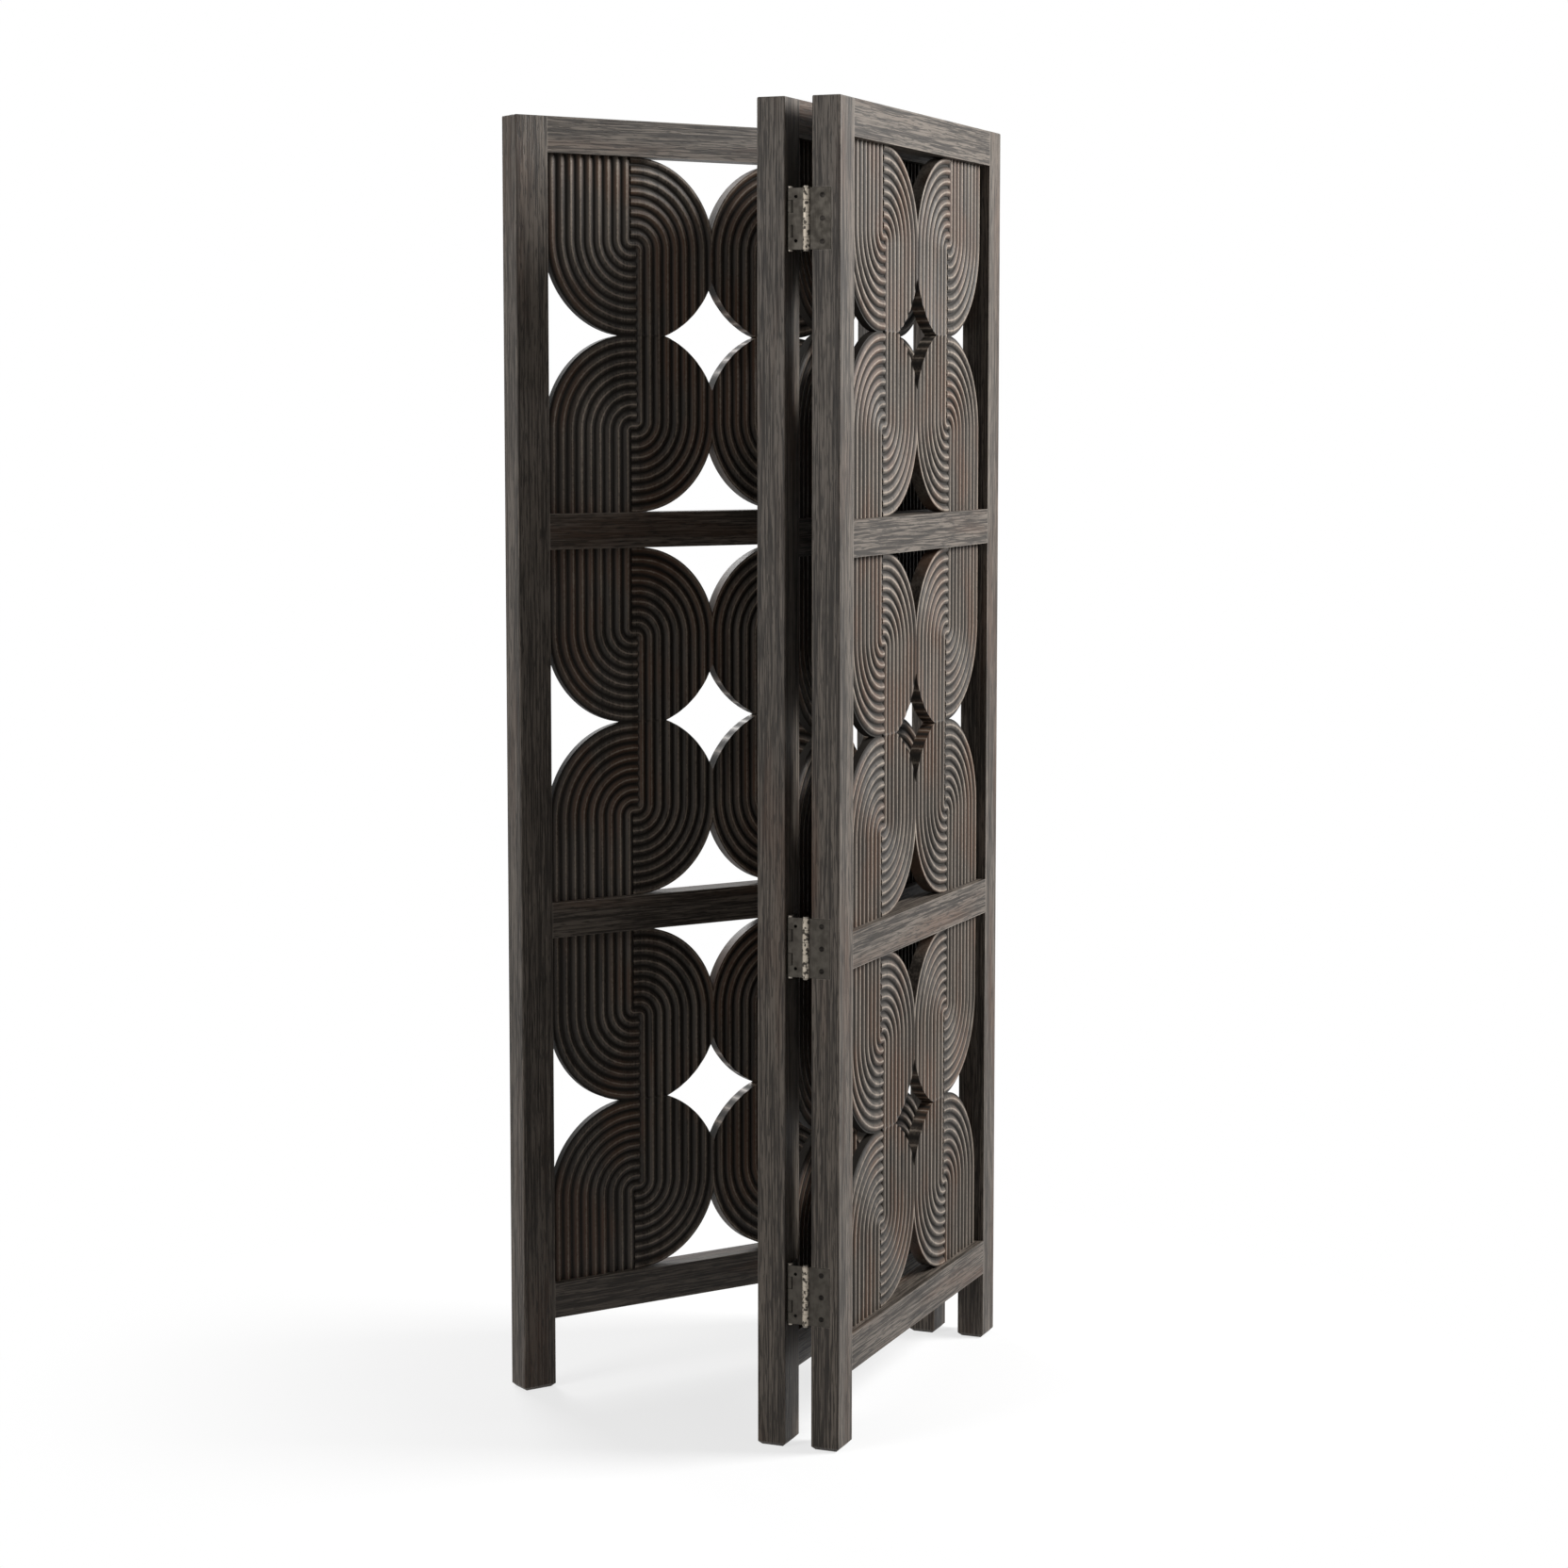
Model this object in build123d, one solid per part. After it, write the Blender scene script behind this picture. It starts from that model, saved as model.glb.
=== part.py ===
from build123d import *
import os

# A three-panel folding screen. Each panel is a ladder frame of two stiles and
# four rails, with a carved slab in each of its three bays. The panels hang on
# two lines of three double-acting hinges.
#
# Millimetres, +Z up. The origin is the centre of the underside of the middle
# panel's front foot. The middle panel runs along +X. The right panel folds
# back beside it on the -Y side, and the left panel fans out on the +Y side.

# ---- Carved slab -----------------------------------------------------------
RIB_PITCH = 15.0           # crest to crest of the reeding on a disc
RIB_COUNT = 9              # ribs between a disc's centre and its edge
LOWER_LAND = 1.0           # plain edge outside the last lower rib
UPPER_LAND = 3.0           # plain edge outside the last upper rib
COLUMN_OVERLAP = 4.0       # how far a disc reaches past the panel's centre line
NECK_OVERLAP = 1.0         # how far a disc reaches past the bay's middle height
RAIL_BITE = 0.5            # how much of a disc's crown the rail cuts off
SIDE_GAP = 5.0             # open slit between slab and stile
SLAB_THICKNESS = 18.0
RIBS_PER_GROOVE = 3        # the solid carries every third groove of the reeding
GROOVE_WIDTH = 4.0
GROOVE_DEPTH = 4.0
TONGUE_THICKNESS = 8.0     # tongues along the slab's flat top and bottom edges
TONGUE_DEPTH = 8.0
TONGUE_INSET = 8.0         # from the corner of the slab's flat edge

# ---- Frame -----------------------------------------------------------------
PANEL_THICKNESS = 40.0
STILE_WIDTH = 50.0
RAIL_HEIGHT = 50.0
LEG_HEIGHT = 100.0         # floor to the underside of the bottom rail
EDGE_ROUND = 2.0
FOOT_CHAMFER = 5.0
TENON_LENGTH = 30.0
TENON_THICKNESS = 12.0
TENON_SHOULDER = 8.0       # rail height left above and below a tenon
WOOD_CLEARANCE = 0.1       # all round a tenon or a tongue

# ---- Hinges ----------------------------------------------------------------
LEAF_HEIGHT = 80.0
LEAF_WIDTH = 27.0          # part of a leaf that lies on the wood
LEAF_THICKNESS = 2.0
LEAF_PROUD = 0.4           # an edge leaf stands this much above its recess
KNUCKLE_RADIUS = 4.5
KNUCKLE_COUNT = 5
PIN_RADIUS = 2.5
PIN_CLEARANCE = 0.05
PIN_HEAD_RADIUS = 4.0
PIN_HEAD_HEIGHT = 2.0
RUNNING_GAP = 0.3          # between pieces that turn past each other
OUTER_PIN_INSET = 7.4      # outer pin to the inner face of the panel it carries
PANEL_GAP = 36.0           # clear gap between two folded panels
PANEL_SETBACK = 4.0        # a folded panel's edge sits behind the middle one's
RECESS_CLEARANCE = 0.2
CUT_MARGIN = 1.0           # how far a cutting shape runs past the face it cuts

SCREW_RADIUS = 1.75
SCREW_HEAD_RADIUS = 3.75
SCREW_LENGTH = 13.0
SCREW_CLEARANCE = 0.05
PILOT_RELIEF = 0.5         # a pilot hole runs this much past its screw's tip
SCREW_SLOT_WIDTH = 0.9
SCREW_SLOT_DEPTH = 0.8
SCREW_SPACING = 30.0
SCREW_INSET = 15.0         # from the knuckle end of a leaf
LINK_HOLE_SPACING = 57.0   # the two spare holes of a link plate
LINK_HOLE_RADIUS = 2.2
LINK_HOLE_INSET = 4.2      # from the flat's end nearest the middle panel

TOP_HINGE_DROP = 108.0     # top rail's underside to the top hinge's centre
MIDDLE_HINGE_RISE = 8.0    # lower middle rail's centre to the middle hinge's
BOTTOM_HINGE_RISE = 61.0   # bottom rail's top to the bottom hinge's centre

# ---- How the screen stands (degrees, positive is anticlockwise from above) --
FRONT_LINK_TURN = 0.0
FRONT_PANEL_TURN = 0.0
BACK_LINK_TURN = 45.0
BACK_PANEL_TURN = -79.5

# ---- Sizes that follow -----------------------------------------------------
# A disc of the left column, about the bay's centre, has three centres: one for
# its lower left ribs, one for its upper right ribs, and one for its lower right
# edge. Half a pitch and a whole pitch between them make the ribs meet as an S.
lower_radius = RIB_COUNT * RIB_PITCH + LOWER_LAND
upper_radius = (RIB_COUNT - 1 / 2) * RIB_PITCH + UPPER_LAND
right_seam = COLUMN_OVERLAP - upper_radius
left_seam = right_seam - RIB_PITCH / 2
lower_height = lower_radius - NECK_OVERLAP
upper_height = lower_height - RIB_PITCH
half_opening = lower_radius - left_seam + SIDE_GAP
half_bay = upper_height + upper_radius - RAIL_BITE
opening_width = 2 * half_opening
bay_height = 2 * half_bay
panel_width = opening_width + 2 * STILE_WIDTH
screen_height = LEG_HEIGHT + 4 * RAIL_HEIGHT + 3 * bay_height
half_thickness = PANEL_THICKNESS / 2

panel_left = -STILE_WIDTH / 2                    # the middle panel's front edge
panel_middle = panel_left + panel_width / 2
rail_bottoms = [LEG_HEIGHT + i * (RAIL_HEIGHT + bay_height) for i in range(4)]
bay_centres = [z + RAIL_HEIGHT + half_bay for z in rail_bottoms[:3]]
rail_names = ["bottom_rail", "lower_rail", "upper_rail", "top_rail"]
bay_names = ["lower_carving", "middle_carving", "upper_carving"]

hinge_names = ["bottom", "middle", "top"]
hinge_heights = [
    rail_bottoms[0] + RAIL_HEIGHT + BOTTOM_HINGE_RISE,
    rail_bottoms[1] + RAIL_HEIGHT / 2 + MIDDLE_HINGE_RISE,
    rail_bottoms[3] - TOP_HINGE_DROP,
]

# The outer pin stands just in front of the edge leaf's face, so that the leaf
# and the link plate can close on each other. The inner pin is behind the link
# plate's front face, clear of the middle panel's inner face.
panel_edge = panel_left + PANEL_SETBACK
leaf_face = panel_edge - LEAF_PROUD
outer_pin = (leaf_face - RUNNING_GAP, -half_thickness - PANEL_GAP + OUTER_PIN_INSET)
inner_pin = (leaf_face + KNUCKLE_RADIUS, -half_thickness - KNUCKLE_RADIUS - RUNNING_GAP)
folded_middle = -PANEL_THICKNESS - PANEL_GAP     # y of a folded panel's mid-plane


def block(x_range, y_range, z_range):
    """A box from its lowest and highest value on each axis."""
    size = [high - low for low, high in (x_range, y_range, z_range)]
    centre = [(high + low) / 2 for low, high in (x_range, y_range, z_range)]
    return Pos(*centre) * Box(*size)


def grown(value_range, amount):
    """The range widened by the same amount at both ends."""
    return (value_range[0] - amount, value_range[1] + amount)


def turned_about(point, degrees):
    """A turn about the vertical line through a plan point."""
    x, y = point
    return Pos(x, y, 0) * Rot(0, 0, degrees) * Pos(-x, -y, 0)


# ---- Panel frame, in the middle panel's place -------------------------------

def tenon_ranges(rail_bottom, clearance=0.0):
    """Thickness and height of a tenon, or of its mortise with a clearance."""
    thick = grown((-TENON_THICKNESS / 2, TENON_THICKNESS / 2), clearance)
    high = (rail_bottom + TENON_SHOULDER, rail_bottom + RAIL_HEIGHT - TENON_SHOULDER)
    return thick, grown(high, clearance)


def stile(mirrored):
    """One upright, with its foot chamfered and a mortise for each rail."""
    body = block(
        (panel_left, panel_left + STILE_WIDTH),
        (-half_thickness, half_thickness),
        (0, screen_height),
    )
    body = chamfer(body.faces().sort_by(Axis.Z)[0].edges(), FOOT_CHAMFER)
    outer_edges = body.edges().filter_by(Axis.Z).group_by(Axis.X)[0]
    top_edges = body.edges().group_by(Axis.Z)[-1]
    rounded = outer_edges + top_edges.filter_by(Axis.X) + top_edges.sort_by(Axis.X)[:1]
    body = fillet(rounded, EDGE_ROUND)
    inner_side = panel_left + STILE_WIDTH
    for rail_bottom in rail_bottoms:
        thick, high = tenon_ranges(rail_bottom, WOOD_CLEARANCE)
        depth = (inner_side - TENON_LENGTH - WOOD_CLEARANCE, inner_side)
        body -= block(depth, thick, high)
    if mirrored:
        body = body.mirror(Plane.YZ.offset(panel_middle))
    return body


def slab_flat():
    """X range of the slab's flat top edge in the left column."""
    left = panel_left + STILE_WIDTH + SIDE_GAP
    return (left, left + lower_radius)


def tongue_ranges(clearance=0.0):
    """X ranges of the two tongues, or of their grooves with a clearance."""
    left, right = slab_flat()
    first = grown((left + TONGUE_INSET, right - TONGUE_INSET), clearance)
    second = (2 * panel_middle - first[1], 2 * panel_middle - first[0])
    return first, second


def rail(level):
    """One cross rail with its two tenons and the grooves for the slabs."""
    bottom = rail_bottoms[level]
    top = bottom + RAIL_HEIGHT
    left = panel_left + STILE_WIDTH
    right = left + opening_width
    body = block((left, right), (-half_thickness, half_thickness), (bottom, top))
    if level == len(rail_bottoms) - 1:
        top_edges = body.edges().group_by(Axis.Z)[-1].filter_by(Axis.X)
        body = fillet(top_edges, EDGE_ROUND)
    thick, high = tenon_ranges(bottom)
    body += block((left - TENON_LENGTH, right + TENON_LENGTH), thick, high)
    groove_depth = TONGUE_DEPTH + WOOD_CLEARANCE
    groove_thick = grown((-TONGUE_THICKNESS / 2, TONGUE_THICKNESS / 2), WOOD_CLEARANCE)
    for groove in tongue_ranges(WOOD_CLEARANCE):
        if level > 0:
            body -= block(groove, groove_thick, (bottom, bottom + groove_depth))
        if level < len(rail_bottoms) - 1:
            body -= block(groove, groove_thick, (top - groove_depth, top))
    return body


# ---- Carved slab -------------------------------------------------------------

def quarter_disc(centre, radius, side, level):
    """A quarter of a disc, on the side (-1 or 1 along X) and level (-1 or 1) given."""
    corner = Pos(centre[0] + side * radius / 2, centre[1] + level * radius / 2)
    return (Pos(*centre) * Circle(radius)) & (corner * Rectangle(radius, radius))


def flat_block(x_range, z_range):
    """A rectangle from its lowest and highest value on each axis."""
    middle = Pos(sum(x_range) / 2, sum(z_range) / 2)
    return middle * Rectangle(x_range[1] - x_range[0], z_range[1] - z_range[0])


def column_outline():
    """Left column of a bay about the bay's centre: two discs that meet at a neck.

    Each disc is three quarter discs, a strip between its two seams and a square
    upper left corner, cut off level at the rail.
    """
    left_edge = -half_opening + SIDE_GAP
    middle_height = (lower_height + upper_height) / 2
    disc = quarter_disc((left_seam, lower_height), lower_radius, -1, -1)
    disc += quarter_disc((right_seam, middle_height), lower_radius, 1, -1)
    disc += quarter_disc((right_seam, upper_height), upper_radius, 1, 1)
    disc += flat_block((left_seam, right_seam), (0, half_bay))
    disc += flat_block((left_edge, left_seam), (lower_height, half_bay))
    disc &= flat_block((left_edge, lower_radius), (-half_bay, half_bay))
    return disc + disc.mirror(Plane.XZ)


def groove_outline(centre, distance, side, far_height):
    """One groove between two ribs, at a distance from the centre they turn about.

    It runs upright from the far height, turns a quarter ring, which lies on the
    side (-1 or 1) both along X and along Z, and ends as an arm across the seams.
    """
    inner = distance - GROOVE_WIDTH / 2
    outer = distance + GROOVE_WIDTH / 2
    ring = quarter_disc(centre, outer, side, side)
    if inner > 0:
        ring -= quarter_disc(centre, inner, side, side)
    across = sorted((centre[0] + side * inner, centre[0] + side * outer))
    upright = flat_block(across, sorted((centre[1], far_height)))
    along = sorted((centre[1] + side * inner, centre[1] + side * outer))
    arm = flat_block((left_seam, right_seam), along)
    return ring + upright + arm


def groove_cutters():
    """The grooves of one bay about its centre, on the slab's front and back."""
    grooves = []
    for step in range(0, RIB_COUNT, RIBS_PER_GROOVE):
        distance = step * RIB_PITCH
        grooves.append(groove_outline((left_seam, lower_height), distance, -1, half_bay))
        grooves.append(groove_outline((right_seam, upper_height), distance, 1, 0))
    quarter = Sketch() + grooves
    column = quarter + quarter.mirror(Plane.XZ)
    pattern = column + column.mirror(Plane.YZ)
    cutter = extrude(Plane.XZ * pattern, amount=GROOVE_DEPTH)
    front = Pos(0, GROOVE_DEPTH - SLAB_THICKNESS / 2, 0) * cutter
    back = Pos(0, SLAB_THICKNESS / 2, 0) * cutter
    return front, back


def grooved_slab():
    """A slab about the bay's centre, with its see-through shapes and main grooves."""
    column = column_outline()
    outline = column + column.mirror(Plane.YZ)
    slab = extrude(Plane.XZ * outline, amount=SLAB_THICKNESS / 2, both=True)
    for cutter in groove_cutters():
        slab -= cutter
    return slab


def carved_slab(bay):
    """The slab of one bay with its tongues."""
    slab = Pos(panel_middle, 0, bay_centres[bay]) * slab_blank
    thick = (-TONGUE_THICKNESS / 2, TONGUE_THICKNESS / 2)
    low = bay_centres[bay] - half_bay
    high = bay_centres[bay] + half_bay
    for tongue in tongue_ranges():
        slab += block(tongue, thick, (low - TONGUE_DEPTH, low + TONGUE_INSET))
        slab += block(tongue, thick, (high - TONGUE_INSET, high + TONGUE_DEPTH))
    return slab


slab_blank = grooved_slab()


# ---- Hinges, with the link square across the gap ------------------------------

knuckle_height = (LEAF_HEIGHT - (KNUCKLE_COUNT - 1) * RUNNING_GAP) / KNUCKLE_COUNT
odd_knuckles = range(0, KNUCKLE_COUNT, 2)
even_knuckles = range(1, KNUCKLE_COUNT, 2)
knuckle_reach = KNUCKLE_RADIUS + RUNNING_GAP
plate_back = leaf_face + LEAF_THICKNESS
screw_offsets = [-SCREW_SPACING, 0.0, SCREW_SPACING]


def leaf_span(height):
    """Z range of a hinge at a height."""
    return (height - LEAF_HEIGHT / 2, height + LEAF_HEIGHT / 2)


def knuckle_span(height, index):
    """Z range of one knuckle of a hinge."""
    low = height - LEAF_HEIGHT / 2 + index * (knuckle_height + RUNNING_GAP)
    return (low, low + knuckle_height)


def upright_rod(point, radius, z_range):
    """A vertical cylinder on a plan point."""
    low, high = z_range
    return Pos(point[0], point[1], (low + high) / 2) * Cylinder(radius, high - low)


def knuckles(height, pin, indices, web_x, web_y):
    """The knuckles at some indices, each with the web that joins it to its plate."""
    pieces = []
    for index in indices:
        span = knuckle_span(height, index)
        pieces.append(upright_rod(pin, KNUCKLE_RADIUS, span) + block(web_x, web_y, span))
    return pieces


def pin_bore(height, pin):
    """The bore that a pin runs in."""
    return upright_rod(pin, PIN_RADIUS + PIN_CLEARANCE, grown(leaf_span(height), CUT_MARGIN))


def screw_shape(clearance):
    """A countersunk screw pointing along +X with its head's face at x = 0."""
    head_depth = SCREW_HEAD_RADIUS - SCREW_RADIUS
    head = Cone(SCREW_HEAD_RADIUS + clearance, SCREW_RADIUS + clearance, head_depth)
    head = Pos(0, 0, head_depth / 2) * head
    shank = Pos(0, 0, (head_depth + SCREW_LENGTH) / 2)
    shank *= Cylinder(SCREW_RADIUS + clearance, SCREW_LENGTH - head_depth)
    if clearance > 0:
        tip = Cylinder(SCREW_RADIUS + clearance, 2 * PILOT_RELIEF)
        shank += Pos(0, 0, SCREW_LENGTH) * tip
    return Rot(0, 90, 0) * (head + shank)


def screw():
    """A screw with a straight slot across its head."""
    slot_half = SCREW_SLOT_WIDTH / 2
    across = grown((0, 0), SCREW_HEAD_RADIUS)
    slot = block((0, SCREW_SLOT_DEPTH), across, (-slot_half, slot_half))
    return screw_shape(0) - slot


edge_screw_y = -half_thickness - PANEL_GAP - SCREW_INSET
face_leaf_start = inner_pin[0] + knuckle_reach
face_leaf_front = -half_thickness - LEAF_THICKNESS
face_screw_x = face_leaf_start + SCREW_INSET


def edge_screw_places(height):
    """Where the three screws of an edge leaf sit."""
    return [Pos(leaf_face, edge_screw_y, height + z) for z in screw_offsets]


def face_screw_places(height):
    """Where the three screws of a face leaf sit, pointing into the wood."""
    turn = Rot(0, 0, 90)
    return [Pos(face_screw_x, face_leaf_front, height + z) * turn for z in screw_offsets]


def edge_leaf_y():
    """Y range of an edge leaf's flat."""
    return (-half_thickness - PANEL_GAP - LEAF_WIDTH, outer_pin[1] - knuckle_reach)


def edge_leaf(height):
    """The leaf let into the folded panel's edge, with three knuckles."""
    flat_x = (leaf_face, plate_back)
    body = block(flat_x, edge_leaf_y(), leaf_span(height))
    web_y = (outer_pin[1] - knuckle_reach, outer_pin[1])
    for piece in knuckles(height, outer_pin, odd_knuckles, flat_x, web_y):
        body += piece
    body -= pin_bore(height, outer_pin)
    for place in edge_screw_places(height):
        body -= place * screw_shape(SCREW_CLEARANCE)
    return body


def edge_recess(height):
    """The recess and pilot holes that an edge leaf needs in the stile."""
    depth = (panel_edge - CUT_MARGIN, plate_back + SCREW_CLEARANCE)
    along = grown(edge_leaf_y(), RECESS_CLEARANCE)
    body = block(depth, along, grown(leaf_span(height), RECESS_CLEARANCE))
    for place in edge_screw_places(height):
        body += place * screw_shape(SCREW_CLEARANCE)
    return body


def link_plate(height):
    """The plate across the gap, with knuckles on both pins and two spare holes."""
    flat_x = (leaf_face, plate_back)
    flat_y = (outer_pin[1] + knuckle_reach, inner_pin[1] - knuckle_reach)
    body = block(flat_x, flat_y, leaf_span(height))
    outer_web = (outer_pin[1], flat_y[0])
    inner_web = (flat_y[1], inner_pin[1])
    for piece in knuckles(height, outer_pin, even_knuckles, flat_x, outer_web):
        body += piece
    for piece in knuckles(height, inner_pin, odd_knuckles, flat_x, inner_web):
        body += piece
    body -= pin_bore(height, outer_pin)
    body -= pin_bore(height, inner_pin)
    for offset in (-LINK_HOLE_SPACING / 2, LINK_HOLE_SPACING / 2):
        hole = Rot(0, 90, 0) * Cylinder(LINK_HOLE_RADIUS, 4 * LEAF_THICKNESS)
        body -= Pos(leaf_face, flat_y[1] - LINK_HOLE_INSET, height + offset) * hole
    return body


def face_leaf(height):
    """The leaf on the middle panel's face, with two knuckles."""
    flat_x = (face_leaf_start, face_leaf_start + LEAF_WIDTH)
    flat_y = (face_leaf_front, -half_thickness)
    body = block(flat_x, flat_y, leaf_span(height))
    web_x = (inner_pin[0], face_leaf_start)
    for piece in knuckles(height, inner_pin, even_knuckles, web_x, flat_y):
        body += piece
    body -= pin_bore(height, inner_pin)
    for place in face_screw_places(height):
        body -= place * screw_shape(SCREW_CLEARANCE)
    return body


def hinge_pin(height, point):
    """A pin with a flat head at each end of its barrel."""
    low, high = leaf_span(height)
    low_head = (low - PIN_HEAD_HEIGHT, low)
    high_head = (high, high + PIN_HEAD_HEIGHT)
    body = upright_rod(point, PIN_RADIUS, (low, high))
    body += upright_rod(point, PIN_HEAD_RADIUS, low_head)
    body += upright_rod(point, PIN_HEAD_RADIUS, high_head)
    return body


def face_pilots():
    """The pilot holes of one hinge line in a middle panel's stile."""
    return [place * screw_shape(SCREW_CLEARANCE)
            for height in hinge_heights for place in face_screw_places(height)]


# ---- Placing ------------------------------------------------------------------
# The back hinge line is the front one turned half round about the middle
# panel's centre. A folded panel is built in the middle panel's place, moved
# beside it, and then turned with its link and about its outer pin.

half_round = turned_about((panel_middle, 0), 180)
beside = Pos(PANEL_SETBACK, folded_middle, 0)
lines = {
    "front": (Location(), FRONT_LINK_TURN, FRONT_PANEL_TURN),
    "back": (half_round, BACK_LINK_TURN, BACK_PANEL_TURN),
}

nodes = {}


def add_panel(prefix, near_stile, far_stile, place):
    """The frame and slabs of one panel, put in place under its node names."""
    nodes[prefix + near_stile] = place * stile(mirrored=False)
    nodes[prefix + far_stile] = place * stile(mirrored=True)
    for level, name in enumerate(rail_names):
        nodes[prefix + name] = place * rail(level)
    for bay, name in enumerate(bay_names):
        nodes[prefix + name] = place * carved_slab(bay)


def add_hinge_line(line, panel_stile, face_stile):
    """Three hinges of one line, with the recesses and pilot holes they need."""
    side, link_turn, panel_turn = lines[line]
    link_place = side * turned_about(inner_pin, link_turn)
    panel_place = link_place * turned_about(outer_pin, panel_turn)
    for name, height in zip(hinge_names, hinge_heights):
        nodes[f"{line}_{name}_edge_leaf"] = panel_place * edge_leaf(height)
        nodes[f"{line}_{name}_link_plate"] = link_place * link_plate(height)
        nodes[f"{line}_{name}_face_leaf"] = side * face_leaf(height)
        nodes[panel_stile] -= panel_place * edge_recess(height)
    nodes[f"{line}_outer_pins"] = Compound(
        [panel_place * hinge_pin(height, outer_pin) for height in hinge_heights])
    nodes[f"{line}_inner_pins"] = Compound(
        [link_place * hinge_pin(height, inner_pin) for height in hinge_heights])
    nodes[f"{line}_edge_screws"] = Compound(
        [panel_place * place * screw()
         for height in hinge_heights for place in edge_screw_places(height)])
    nodes[f"{line}_face_screws"] = Compound(
        [side * place * screw()
         for height in hinge_heights for place in face_screw_places(height)])
    for pilot in face_pilots():
        nodes[face_stile] -= side * pilot


def folded_place(line):
    """Where a folded panel of a hinge line stands."""
    side, link_turn, panel_turn = lines[line]
    link_place = side * turned_about(inner_pin, link_turn)
    return link_place * turned_about(outer_pin, panel_turn) * beside


def plan_point(line, point, with_link):
    """The plan place of a pin, in millimetres."""
    side, link_turn, _ = lines[line]
    place = side
    if with_link:
        place = side * turned_about(inner_pin, link_turn)
    moved = place * Pos(point[0], point[1], 0)
    return (round(moved.position.X, 4), round(moved.position.Y, 4))


add_panel("middle_", "front_stile", "back_stile", Location())
add_panel("right_", "hinge_stile", "free_stile", folded_place("front"))
add_panel("left_", "hinge_stile", "free_stile", folded_place("back"))
add_hinge_line("front", "right_hinge_stile", "middle_front_stile")
add_hinge_line("back", "left_hinge_stile", "middle_back_stile")

os.makedirs("parts", exist_ok=True)
for name, shape in nodes.items():
    export_step(shape, f"parts/{name}.step")

print("panel", panel_width, "x", screen_height, "bay", opening_width, "x", bay_height)
print("hinge heights", hinge_heights)
for line in lines:
    print(line, "inner pin", plan_point(line, inner_pin, False))
    print(line, "outer pin", plan_point(line, outer_pin, True))
print(len(nodes), "nodes")
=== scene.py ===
# %% [markdown]
# # A folding screen with reeded discs
#
# The real object is a room divider of three panels. Each panel is a ladder
# frame of dark stained oak: two stiles, four rails, and in every bay a slab
# carved into four discs. The ribs of a disc run straight down from the rail,
# turn a quarter circle and run straight on, so that two families of ribs meet
# in the disc's middle as a letter S. The stiles, rails and hinges come from the
# CAD frame and get their finish here. The carved slabs are modelled here.

# %% Load the fixed frame
import math

import bmesh
import bpy
import numpy as np
from mathutils import Matrix, Vector


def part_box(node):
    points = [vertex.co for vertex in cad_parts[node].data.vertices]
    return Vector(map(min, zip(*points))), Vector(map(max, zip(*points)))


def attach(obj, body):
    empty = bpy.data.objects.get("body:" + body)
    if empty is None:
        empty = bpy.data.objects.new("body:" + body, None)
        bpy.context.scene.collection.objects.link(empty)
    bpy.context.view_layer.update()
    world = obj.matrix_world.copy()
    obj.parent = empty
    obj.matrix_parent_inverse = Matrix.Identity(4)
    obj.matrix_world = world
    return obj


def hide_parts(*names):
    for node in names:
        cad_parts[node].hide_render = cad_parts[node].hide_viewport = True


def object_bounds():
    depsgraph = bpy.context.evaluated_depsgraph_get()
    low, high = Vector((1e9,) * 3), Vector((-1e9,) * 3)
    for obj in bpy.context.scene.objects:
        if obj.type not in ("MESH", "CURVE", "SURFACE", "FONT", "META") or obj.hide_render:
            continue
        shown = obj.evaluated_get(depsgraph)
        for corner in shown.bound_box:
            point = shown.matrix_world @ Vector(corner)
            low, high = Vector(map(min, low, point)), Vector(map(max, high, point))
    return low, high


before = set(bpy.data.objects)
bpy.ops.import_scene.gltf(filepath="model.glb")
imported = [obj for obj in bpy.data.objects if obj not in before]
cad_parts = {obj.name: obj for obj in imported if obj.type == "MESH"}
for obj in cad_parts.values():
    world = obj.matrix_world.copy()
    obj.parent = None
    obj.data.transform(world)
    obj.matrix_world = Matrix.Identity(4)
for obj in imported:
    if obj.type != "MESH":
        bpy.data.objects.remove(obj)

cad_low, cad_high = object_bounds()
print("CAD box", [round(v, 4) for v in cad_low], [round(v, 4) for v in cad_high])

# %% [markdown]
# Every panel stands at its own angle in plan. The frame gives each stile's box,
# and the line from one stile's centre to the other's is the panel's heading.
# Grain and carving both follow that heading, so it is measured once here.

# %% Where each panel stands
PANELS = {
    "middle": ("middle_front_stile", "middle_back_stile", "middle_panel"),
    "right": ("right_hinge_stile", "right_free_stile", "right_panel"),
    "left": ("left_hinge_stile", "left_free_stile", "left_panel"),
}
RAILS = ("bottom_rail", "lower_rail", "upper_rail", "top_rail")
BAYS = ("lower_carving", "middle_carving", "upper_carving")


def box_centre(node):
    """The middle of a CAD node's box."""
    low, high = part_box(node)
    return (Vector(low) + Vector(high)) / 2


def panel_heading(first_stile, second_stile):
    """The angle in plan of the line from one stile's centre to the other's."""
    along = box_centre(second_stile) - box_centre(first_stile)
    return math.atan2(along.y, along.x)


headings = {panel: panel_heading(*stiles[:2]) for panel, stiles in PANELS.items()}
for panel, heading in headings.items():
    print(panel, "panel heading", round(math.degrees(heading), 2), "degrees")

# %% [markdown]
# ## The carved slabs
#
# A carver would strike two seams down each disc, half a pitch apart, and a
# centre on each. Ribs left of the seams turn below their centre. Ribs right of
# them turn above theirs, which lies one pitch lower. The distance from the
# centre is then all that the relief depends on: a crest stands halfway between
# whole pitches and a groove lies on each whole pitch. So a family of ribs is a
# grid of two parameters, the distance across the ribs and the way along them,
# and its relief is one short formula. Modelling the surface this way gives clean ribs from every side,
# where a bump map would look flat at the discs' edges.

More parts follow.
